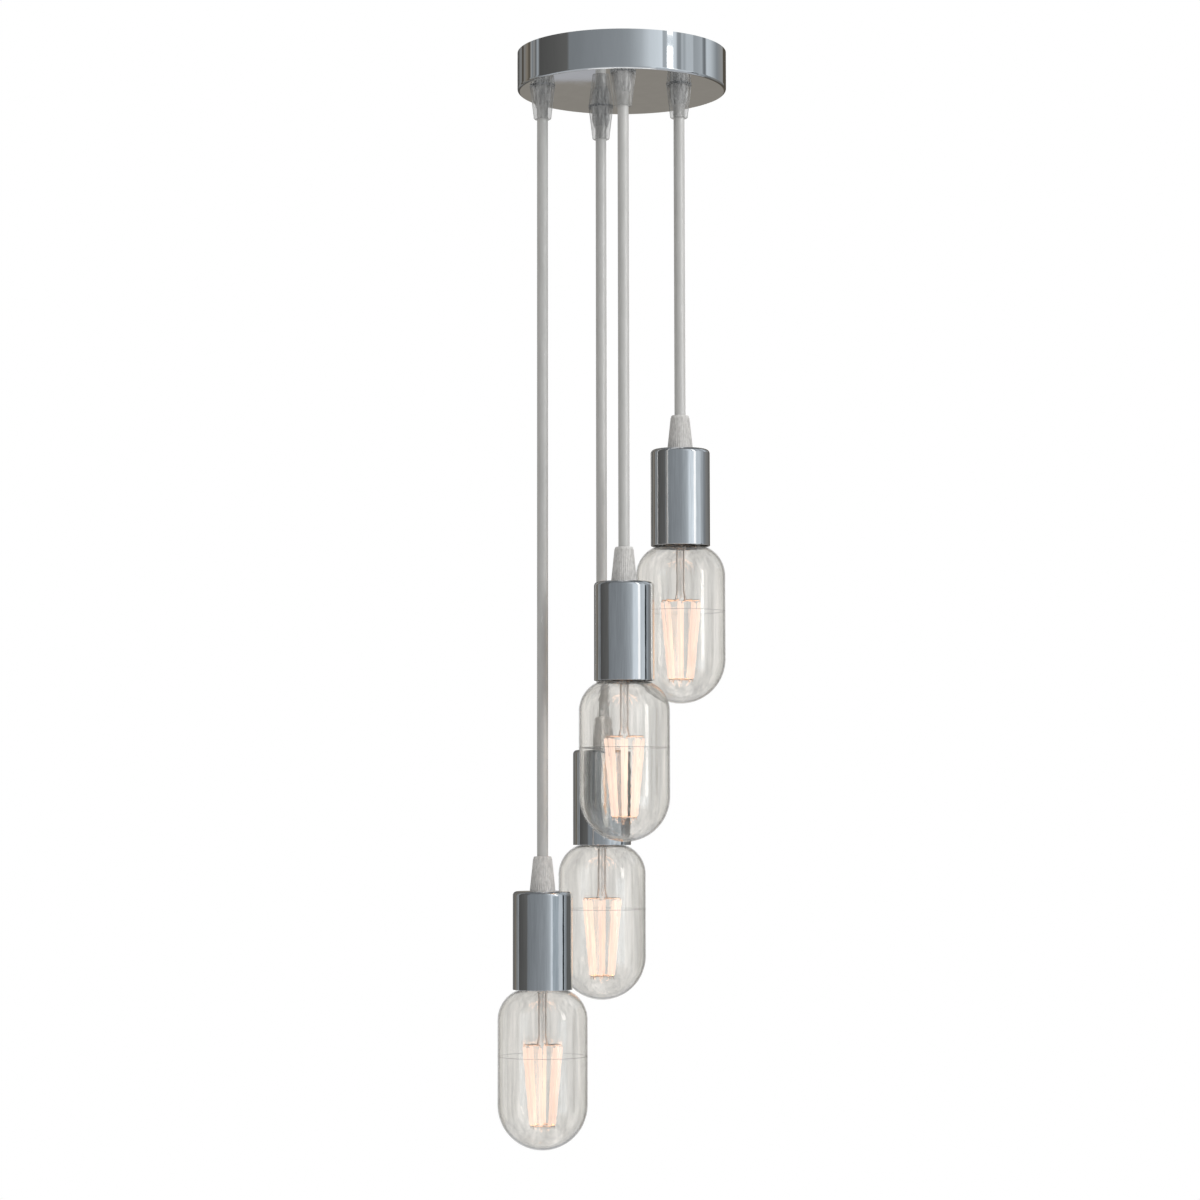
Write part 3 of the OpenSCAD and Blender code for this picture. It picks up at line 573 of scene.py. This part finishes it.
def makeLampGlass():
    values = {
        "radius": 0.0325, "lowest": -0.1145, "shoulder": 0.023, "shoulderRise": 0.0014, "neck": 0.0116,
        "hollow": 0.0045, "neckTop": 0.015, "wall": 0.0008, "lineHeight": -0.0475, "lineWidth": 0.00025,
        "grooveDepth": 0.0001, "domeStart": -88, "domeSteps": 30, "shoulderSteps": 22, "hollowSteps": 10,
        "steps": 128, "smooth": 50,
    }
    domeZ = values["lowest"] + values["radius"]
    shoulder, shoulderX = values["shoulder"], values["radius"] - values["shoulder"]
    shoulderZ = values["shoulderRise"] - shoulder
    # the round of the shoulder and the hollow round of the neck touch where their centres' line crosses them
    hollowX = values["neck"] + values["hollow"]
    hollowZ = shoulderZ + math.sqrt((shoulder + values["hollow"]) ** 2 - (hollowX - shoulderX) ** 2)
    meet = math.degrees(math.atan2(hollowZ - shoulderZ, hollowX - shoulderX))

    def wallLine(inward):
        radius, hollow = values["radius"] - inward, values["hollow"] + inward
        line = [(0, domeZ - radius)]
        line += arcPoints(0, domeZ, radius, values["domeStart"], 0, values["domeSteps"])
        if not inward:  # a fine groove round the outside, which carries the grey line of painted reflection
            lineHeight, wide, deep = values["lineHeight"], values["lineWidth"], values["grooveDepth"]
            line += [(radius, lineHeight - 2 * wide), (radius, lineHeight - wide), (radius - deep, lineHeight)]
            line += [(radius, lineHeight + wide), (radius, lineHeight + 2 * wide)]
        line += arcPoints(shoulderX, shoulderZ, shoulder - inward, 0, meet, values["shoulderSteps"])
        line += arcPoints(hollowX, hollowZ, hollow, meet - 180, -180, values["hollowSteps"])[1:]
        return line + [(values["neck"] - inward, values["neckTop"])]

    outline = wallLine(0) + wallLine(values["wall"])[::-1]
    model = turnOutline("lampEnvelope", outline, values["steps"], values["smooth"])
    dress(model, "lampGlass", "glassLinePaintedReflection")
    # the faces of the groove take the grey line of painted reflection
    for face in model.data.polygons:
        face.material_index = int(abs(face.center.z - values["lineHeight"]) < values["lineWidth"])
    hangCopies(model, "lamp", "lamp_glass")


def makeStemGlass():
    # a disc on top of the neck, the flare, the pinch and the rod below it
    values = {
        "neckTop": 0.015, "seal": 0.0008, "neck": 0.0116, "wall": 0.0016, "pinch": 0.004, "pinchTop": 0.0024,
        "pinchFoot": -0.0024, "rod": 0.001, "rodFoot": -0.0378, "edge": 0.0006, "tipShare": 0.6,
        "steps": 48, "smooth": 50,
    }
    neck, neckTop, pinch, pinchFoot = (values[name] for name in ("neck", "neckTop", "pinch", "pinchFoot"))
    rod, rodFoot, edge = (values[name] for name in ("rod", "rodFoot", "edge"))
    outline = [
        (0, neckTop + values["seal"]), (neck, neckTop + values["seal"]), (neck, neckTop),
        (neck - values["wall"], neckTop), (pinch, values["pinchTop"]), (pinch, pinchFoot + edge),
        (pinch - edge, pinchFoot), (rod + edge, pinchFoot), (rod, pinchFoot - edge),
        (rod, rodFoot + edge), (rod * values["tipShare"], rodFoot), (0, rodFoot),
    ]
    model = turnOutline("glassStem", outline, values["steps"], values["smooth"])
    dress(model, "stemGlass")
    hangCopies(model, "lamp", "lamp_stem")


def makeSticks():
    # eight coated sticks in a ring that narrows downwards
    values = {
        "count": 8, "turn": 38.7, "topRing": 0.0135, "footRing": 0.0084, "top": -0.041, "foot": -0.096,
        "radius": 0.00125, "sides": 14, "round": 0.0003, "roundSteps": 2, "smooth": 40,
    }
    sticks = []
    for i in range(values["count"]):
        turn = math.radians(values["turn"] + i * 360 / values["count"])
        across, along = math.cos(turn), math.sin(turn)
        top = Vector((values["topRing"] * across, values["topRing"] * along, values["top"]))
        foot = Vector((values["footRing"] * across, values["footRing"] * along, values["foot"]))
        bpy.ops.object.select_all(action="DESELECT")
        bpy.ops.mesh.primitive_cylinder_add(vertices=values["sides"], radius=values["radius"],
                                            depth=(top - foot).length, location=(top + foot) / 2,
                                            rotation=(top - foot).to_track_quat("Z", "Y").to_euler())
        bpy.ops.object.mode_set(mode="EDIT")
        bpy.ops.mesh.select_all(action="SELECT")
        bpy.ops.mesh.bevel(offset=values["round"], segments=values["roundSteps"])
        bpy.ops.object.mode_set(mode="OBJECT")
        sticks.append(bpy.context.object)
    for stick in sticks:
        stick.select_set(True)
    bpy.context.view_layer.objects.active = sticks[0]
    bpy.ops.object.join()
    applyPlace()
    bpy.ops.object.shade_smooth_by_angle(angle=math.radians(values["smooth"]))
    model = bpy.context.object
    model.name = "stickRing"
    dress(model, "glowingStick")
    hangCopies(model, "lamp", "filaments")


makeCups()
makeLampGlass()
makeStemGlass()
makeSticks()
print("stage: cups and lamps made")


# pieces that keep the shape of their solid
def smoothCopy(nodeName, title, body, material, angle=35, trueFaces=False):
    # a merged, smooth shaded copy of a solid, which stands for it
    source = frame["nodes"][nodeName]
    piece = source.copy()
    piece.data = source.data.copy()
    piece.name = title
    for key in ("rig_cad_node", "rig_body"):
        del piece[key]
    piece.parent = None
    bpy.context.collection.objects.link(piece)
    pickOnly(piece)
    bpy.ops.object.mode_set(mode="EDIT")
    bpy.ops.mesh.select_all(action="SELECT")
    bpy.ops.mesh.remove_doubles(threshold=mergeGap)
    bpy.ops.mesh.tris_convert_to_quads()
    bpy.ops.object.mode_set(mode="OBJECT")
    bpy.ops.object.shade_smooth_by_angle(angle=math.radians(angle))
    if trueFaces:  # wide faces keep their own direction, so that they mirror straight lines as straight
        bpy.ops.object.modifier_add(type="WEIGHTED_NORMAL")
        piece.modifiers[-1].weight = 100
        piece.modifiers[-1].keep_sharp = True
        bpy.ops.object.modifier_apply(modifier=piece.modifiers[-1].name)
    dress(piece, material)
    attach(piece, body)
    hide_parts(nodeName)


smoothCopy("canopy", "canopyPan", "canopy_set", "polishedChrome", trueFaces=True)
smoothCopy("grip_stems", "splitStems", "canopy_set", "stemPlastic")
smoothCopy("cord_tails", "sheathTails", "canopy_set", "greySheath")
for side in pendants:
    smoothCopy("cord_grip_" + side, "gripCap_" + side, "canopy_set", "clearGreyPlastic")
    smoothCopy("cord_cone_" + side, "ribbedCone_" + side, "pendant_" + side,
               "ribbedGreyPlastic", angle=20)


def dressNodes():
    # the solids that are shown as they are
    looks = {
        "ceiling_bracket": "zincPlate", "fixing_screws": "zincPlate", "grip_nuts": "zincPlate",
        "terminal_block": "ivoryPlastic", "terminal_clamps": "plainBrass",
        "leads_live": "brownLead", "leads_neutral": "blueLead", "leads_earth": "earthLead",
    }
    fourOfEach = {
        "lampholder": "blackHolder", "holder_contacts": "plainBrass", "cap_tip": "capInsulator",
        "lamp_cap": "capAluminium", "lead_wires": "dullCopper",
    }
    for stem, material in fourOfEach.items():
        for side in pendants:
            looks[stem + "_" + side] = material
    for name, material in looks.items():
        dress(frame["nodes"][name], material)


dressNodes()
print("stage: carried-over solids dressed")


# studio
def addSeen(tree, x, y):
    # 1 for what is seen, straight on, in gloss or through glass, and 0 for what only lights the object
    path = addNode(tree, "ShaderNodeLightPath", (x - 400, y))
    either = addNode(tree, "ShaderNodeMath", (x - 200, y), operation="MAXIMUM")
    seen = addNode(tree, "ShaderNodeMath", (x, y), operation="MAXIMUM")
    tree.links.new(path.outputs["Is Camera Ray"], either.inputs[0])
    tree.links.new(path.outputs["Is Glossy Ray"], either.inputs[1])
    tree.links.new(either.outputs[0], seen.inputs[0])
    tree.links.new(path.outputs["Is Transmission Ray"], seen.inputs[1])
    return seen.outputs[0]


def makeWorld():
    # white where it is seen, and softer as a light
    values = {"seenColor": (1, 1, 1, 1), "seen": 1, "softColor": (1.0, 0.995, 0.985, 1), "soft": 0.57}
    world = bpy.data.worlds.new("paleStudio")
    bpy.context.scene.world = world
    world.use_nodes = True
    tree = world.node_tree
    tree.nodes.clear()
    white = addNode(tree, "ShaderNodeBackground", (-320, 0))
    white.inputs["Color"].default_value = values["seenColor"]
    white.inputs["Strength"].default_value = values["seen"]
    soft = addNode(tree, "ShaderNodeBackground", (-320, -150))
    soft.inputs["Color"].default_value = values["softColor"]
    soft.inputs["Strength"].default_value = values["soft"]
    end = addNode(tree, "ShaderNodeOutputWorld", (200, 0))
    mixed = mixShaders(tree, addSeen(tree, -320, 200), soft.outputs[0], white.outputs[0], (0, 0))
    tree.links.new(mixed, end.inputs["Surface"])


def makeFloor():
    # the floor of a room 2.4 m high, plain and pale, clear from below
    values = {
        "size": 14, "height": -2.4, "color": (0.86, 0.86, 0.855, 1), "rough": 0.9,
        "liftColor": (1, 1, 1, 1), "lift": 0.48,
    }
    bpy.ops.object.select_all(action="DESELECT")
    bpy.ops.mesh.primitive_plane_add(size=values["size"], location=(0, 0, values["height"]))
    floor = bpy.context.object
    floor.name = "paleFloor"
    material, tree, shader = newMaterial("paleFloor", {
        "Base Color": values["color"], "Roughness": values["rough"], "Emission Color": values["liftColor"],
    })
    lift = addNode(tree, "ShaderNodeMath", (-60, 300), operation="MULTIPLY")
    lift.inputs[1].default_value = values["lift"]
    tree.links.new(addSeen(tree, -240, 300), lift.inputs[0])
    tree.links.new(lift.outputs[0], shader.inputs["Emission Strength"])
    below = addNode(tree, "ShaderNodeNewGeometry", (200, 400))
    clear = addNode(tree, "ShaderNodeBsdfTransparent", (200, -200))
    mixed = mixShaders(tree, below.outputs["Backfacing"], shader.outputs[0], clear.outputs[0], (450, 200))
    end = tree.nodes["Material Output"]
    end.location = (700, 200)
    tree.links.new(mixed, end.inputs["Surface"])
    floor.data.materials.append(material)


def hideFromAllButGloss(obj):
    obj.visible_camera = False
    obj.visible_diffuse = False
    obj.visible_volume_scatter = False
    obj.visible_shadow = False


def showOnlyMirrored(tree, glow, strength, inGlass, farShare):
    # clear to all but mirrored light; a mirror image inside glass is faint, so it takes its own strength
    values = {"nearDepth": 2, "farDepth": 4}  # light through a lamp's near wall, and through both walls
    path = addNode(tree, "ShaderNodeLightPath", (-200, -500))
    once = addNode(tree, "ShaderNodeMath", (0, -400), operation="MINIMUM")
    once.inputs[1].default_value = 1
    far = addNode(tree, "ShaderNodeMapRange", (-200, -800))
    far.inputs["From Min"].default_value = values["nearDepth"]
    far.inputs["From Max"].default_value = values["farDepth"]
    far.inputs["To Min"].default_value = inGlass
    far.inputs["To Max"].default_value = inGlass * farShare
    level = addNode(tree, "ShaderNodeMapRange", (0, -600))
    level.inputs["To Min"].default_value = strength
    clear = addNode(tree, "ShaderNodeBsdfTransparent", (200, -200))
    end = addNode(tree, "ShaderNodeOutputMaterial", (800, 0))
    tree.links.new(path.outputs["Glossy Depth"], once.inputs[0])
    tree.links.new(path.outputs["Is Transmission Ray"], level.inputs["Value"])
    tree.links.new(path.outputs["Transmission Depth"], far.inputs["Value"])
    tree.links.new(far.outputs["Result"], level.inputs["To Max"])
    tree.links.new(level.outputs["Result"], glow.inputs["Strength"])
    mixed = mixShaders(tree, once.outputs[0], clear.outputs[0], glow.outputs[0], (500, 0))
    tree.links.new(mixed, end.inputs["Surface"])


def setGloss(obj, tone, strength, inGlass, farShare):
    # a plain glow of one tone that only gloss sees
    material, tree = emptyMaterial(obj.name)
    glow = addNode(tree, "ShaderNodeEmission", (200, 0))
    glow.inputs["Color"].default_value = (*tone, 1)
    showOnlyMirrored(tree, glow, strength, inGlass, farShare)
    obj.data.materials.append(material)
    hideFromAllButGloss(obj)


def addToneRamp(tree, angle, stops, place):
    # the tones of one half of a wall, as (degrees, level, tint)
    tints = {
        "cool": (0.92, 1.0, 1.07), "plain": (1.0, 1.0, 0.98),
        "ivory": (1.07, 1.0, 0.89), "warm": (1.14, 1.0, 0.8),
    }
    ramp = addNode(tree, "ShaderNodeValToRGB", place)
    for i, (degrees, level, tint) in enumerate(stops):
        share = (degrees + 180) / 360
        stop = ramp.color_ramp.elements[i] if i < 2 else ramp.color_ramp.elements.new(share)
        stop.position = share
        stop.color = (*(level * part for part in tints[tint]), 1)
    tree.links.new(angle, ramp.inputs["Fac"])
    return ramp.outputs["Color"]


def setWallTones(wall, leftStops, rightStops):
    # inside glass the wall is seen over and over, so its tones come closer together there
    values = {"strength": 1.0, "inGlass": 4.0, "farShare": 1.0, "even": (0.30, 0.30, 0.295), "evenShare": 0.5}
    material, tree = emptyMaterial(wall.name)
    place = addNode(tree, "ShaderNodeTexCoord", (-1100, 0))
    turn = addNode(tree, "ShaderNodeMapping", (-900, 0))
    turn.inputs["Rotation"].default_value = (0, 0, math.radians(90))
    angle = addNode(tree, "ShaderNodeTexGradient", (-700, 0), gradient_type="RADIAL")
    tree.links.new(place.outputs["Object"], turn.inputs["Vector"])
    tree.links.new(turn.outputs[0], angle.inputs[0])
    left = addToneRamp(tree, angle.outputs["Fac"], leftStops, (-500, 0))
    right = addToneRamp(tree, angle.outputs["Fac"], rightStops, (-500, -300))
    half = addNode(tree, "ShaderNodeMath", (-500, 200), operation="GREATER_THAN")
    half.inputs[1].default_value = 0.5  # the camera's side lies in the middle of the gradient
    pick = addBlend(tree, (-200, 0))
    path = addNode(tree, "ShaderNodeLightPath", (-500, 500))
    share = addNode(tree, "ShaderNodeMapRange", (-200, 400))
    share.inputs["To Max"].default_value = values["evenShare"]
    even = addBlend(tree, (0, 200), second=values["even"])
    glow = addNode(tree, "ShaderNodeEmission", (200, 0))
    tree.links.new(angle.outputs["Fac"], half.inputs[0])
    tree.links.new(half.outputs[0], pick.inputs["Factor"])
    tree.links.new(left, pick.inputs["A"])
    tree.links.new(right, pick.inputs["B"])
    tree.links.new(path.outputs["Is Transmission Ray"], share.inputs["Value"])
    tree.links.new(share.outputs["Result"], even.inputs["Factor"])
    tree.links.new(pick.outputs["Result"], even.inputs["A"])
    tree.links.new(even.outputs["Result"], glow.inputs["Color"])
    showOnlyMirrored(tree, glow, values["strength"], values["inGlass"], values["farShare"])
    wall.data.materials.append(material)


def makeSurround():
    # walls that only gloss sees: grey tones of a studio by angle, counted from the camera's side to the
    # right; the high wall is what the canopy mirrors, the low one what the cups and the underside mirror
    values = {"radius": 2.0, "steps": 120, "foot": -3.2, "change": 0.12, "top": 2.0}
    leftStops = (
        (-180, 0.24, "ivory"), (-172, 0.24, "ivory"), (-171, 0.04, "warm"), (-156, 0.12, "plain"),
        (-151, 0.21, "plain"), (-144, 0.22, "plain"), (-142, 0.065, "warm"), (-137, 0.07, "warm"),
        (-136, 0.22, "plain"), (-126, 0.19, "warm"), (-123, 0.09, "warm"), (-120, 0.09, "warm"),
        (-118, 0.32, "plain"), (-116, 0.32, "cool"), (-115, 0.19, "cool"), (-111, 0.29, "plain"),
        (-109, 0.1, "plain"), (-104, 0.41, "cool"), (-102, 0.1, "plain"), (-100, 0.08, "plain"),
        (-80, 0.1, "plain"), (-61, 0.12, "plain"), (-59, 0.21, "cool"), (-40, 0.235, "cool"),
        (-20, 0.26, "cool"), (0, 0.29, "cool"),
    )
    highStops = (
        (0, 0.29, "cool"), (8, 0.33, "cool"), (20, 0.46, "cool"), (30, 0.65, "cool"), (44, 0.76, "cool"),
        (45, 0.41, "cool"), (49, 0.43, "cool"), (50, 0.77, "cool"), (57, 0.77, "cool"), (61, 0.63, "cool"),
        (62, 0.3, "cool"), (66, 0.28, "cool"), (68, 0.52, "cool"), (71, 0.36, "cool"), (74, 0.53, "cool"),
        (83, 0.52, "cool"), (84, 0.36, "cool"), (90, 0.38, "cool"), (97, 0.44, "cool"), (99, 0.22, "cool"),
        (103, 0.17, "cool"), (105, 0.62, "cool"), (113, 0.56, "cool"), (121, 0.38, "cool"),
        (127, 0.26, "cool"), (146, 0.3, "plain"), (149, 0.07, "warm"), (170, 0.09, "warm"),
        (173, 0.24, "ivory"),
    )
    lowStops = (
        (0, 0.29, "cool"), (8, 0.32, "cool"), (20, 0.39, "cool"), (29, 0.5, "cool"), (33, 0.73, "cool"),
        (46, 0.79, "cool"), (52, 0.84, "cool"), (62, 0.78, "cool"), (65, 0.58, "cool"), (78, 0.63, "cool"),
        (84, 0.58, "cool"), (87, 0.41, "cool"), (91, 0.42, "cool"), (97, 0.34, "cool"), (104, 0.23, "cool"),
        (118, 0.21, "plain"), (132, 0.18, "plain"), (147, 0.14, "plain"), (149, 0.07, "warm"),
        (170, 0.09, "warm"), (173, 0.24, "ivory"),
    )
    walls = {
        "glossWallHigh": (values["change"], values["top"], highStops),
        "glossWallLow": (values["foot"], values["change"], lowStops),
    }
    for title, (low, high, rightStops) in walls.items():
        bpy.ops.object.select_all(action="DESELECT")
        bpy.ops.mesh.primitive_cylinder_add(vertices=values["steps"], radius=values["radius"],
                                            depth=high - low, end_fill_type="NOTHING",
                                            location=(0, 0, (high + low) / 2))
        wall = bpy.context.object
        wall.name = title
        applyPlace()
        setWallTones(wall, leftStops, rightStops)
        hideFromAllButGloss(wall)


def makeLightCards():
    # upright soft boxes that gloss sees as strips, by angle from the camera's side to the right
    distance = 1.9
    cards = {
        "stripLow": {"angle": 57, "width": 9, "low": -0.6, "high": 0.12,
                     "tone": (1, 1, 1), "strength": 1.15, "inGlass": 15, "farShare": 0.4},
        "stripFoot": {"angle": 51, "width": 26, "low": -1.3, "high": -0.6,
                      "tone": (0.36, 0.41, 0.45), "strength": 1.0, "inGlass": 12, "farShare": 0.6},
        "strip": {"angle": 53, "width": 7, "low": 0.13, "high": 0.4295,
                  "tone": (1, 1, 1), "strength": 3.0, "inGlass": 3, "farShare": 1.0},
        "stripTop": {"angle": 53, "width": 7, "low": 0.446, "high": 1.6,
                     "tone": (1, 1, 1), "strength": 1.4, "inGlass": 3, "farShare": 1.0},
        "darkEdge": {"angle": 87.5, "width": 8, "low": -1.3, "high": -0.26,
                     "tone": (0.016, 0.02, 0.024), "strength": 1.0, "inGlass": 8, "farShare": 1.0},
        "darkSide": {"angle": 125, "width": 34, "low": -1.3, "high": -0.62,
                     "tone": (0.115, 0.118, 0.115), "strength": 1.0, "inGlass": 7, "farShare": 1.0},
        "backPatch": {"angle": 181.4, "width": 2.1, "low": -0.6, "high": -0.475,
                      "tone": (0.40, 0.405, 0.43), "strength": 1.0, "inGlass": 1, "farShare": 1.0},
    }
    for name, card in cards.items():
        angle = math.radians(card["angle"] - 90)
        place = (distance * math.cos(angle), distance * math.sin(angle), (card["low"] + card["high"]) / 2)
        width = 2 * distance * math.tan(math.radians(card["width"] / 2))
        bpy.ops.object.select_all(action="DESELECT")
        bpy.ops.mesh.primitive_plane_add(size=1, location=place,
                                         rotation=(math.radians(90), 0, angle - math.radians(90)))
        plane = bpy.context.object
        plane.name = name
        plane.scale = (width, card["high"] - card["low"], 1)
        applyPlace()
        setGloss(plane, card["tone"], card["strength"], card["inGlass"], card["farShare"])


def makeGlossRings():
    # grey rings low down and high up, so that the round edges of the chrome show the white floor and air
    # only as thin lines
    values = {"steps": 64, "smooth": 35, "strength": 1.0, "farShare": 1.0}
    rings = {
        "lowRing": {"height": -1.6, "inner": 0.55, "outer": 1.99, "tone": (0.42, 0.44, 0.47), "inGlass": 1.5},
        "highRing": {"height": 1.9, "inner": 0.2, "outer": 1.99, "tone": (0.16, 0.17, 0.18), "inGlass": 3.0},
    }
    for name, ring in rings.items():
        outline = [(ring["inner"], ring["height"]), (ring["outer"], ring["height"])]
        plate = turnOutline(name, outline, values["steps"], values["smooth"])
        setGloss(plate, ring["tone"], values["strength"], ring["inGlass"], values["farShare"])


def makeStudioLights():
    lights = {
        "keyLight": {"place": (2.4, -1.5, 0.4), "aim": (0, 0, -0.45), "size": 1.4, "power": 50},
        "fillLight": {"place": (-2.2, -1.6, -0.3), "aim": (0, 0, -0.4), "size": 1.8, "power": 5},
        "topLight": {"place": (0.2, 0.3, 2.4), "aim": (0, 0, -0.5), "size": 2.2, "power": 16},
    }
    for name, values in lights.items():
        bpy.ops.object.select_all(action="DESELECT")
        bpy.ops.object.light_add(type="AREA", location=values["place"])
        light = bpy.context.object
        light.name = name
        direction = Vector(values["aim"]) - Vector(values["place"])
        light.rotation_euler = direction.to_track_quat("-Z", "Y").to_euler()
        light.data.size = values["size"]
        light.data.energy = values["power"]
        light.visible_glossy = False
        light.visible_transmission = False


def makeStickLights():
    # the warm light that the sticks throw on what hangs beside them
    values = {"drop": 0.068, "radius": 0.012, "power": 0.04, "color": (1.0, 0.60, 0.38)}
    for side, spot in pendants.items():
        bpy.ops.object.select_all(action="DESELECT")
        bpy.ops.object.light_add(type="POINT", location=(spot["x"], spot["y"], spot["rim"] - values["drop"]))
        light = bpy.context.object
        light.name = "stickLight_" + side
        light.data.shadow_soft_size = values["radius"]
        light.data.energy = values["power"]
        light.data.color = values["color"]
        light.visible_glossy = False
        light.visible_transmission = False
        light.visible_camera = False


makeWorld()
makeFloor()
makeSurround()
makeLightCards()
makeGlossRings()
makeStudioLights()
makeStickLights()
bpy.context.scene.view_settings.view_transform = "Standard"
print("stage: studio set")
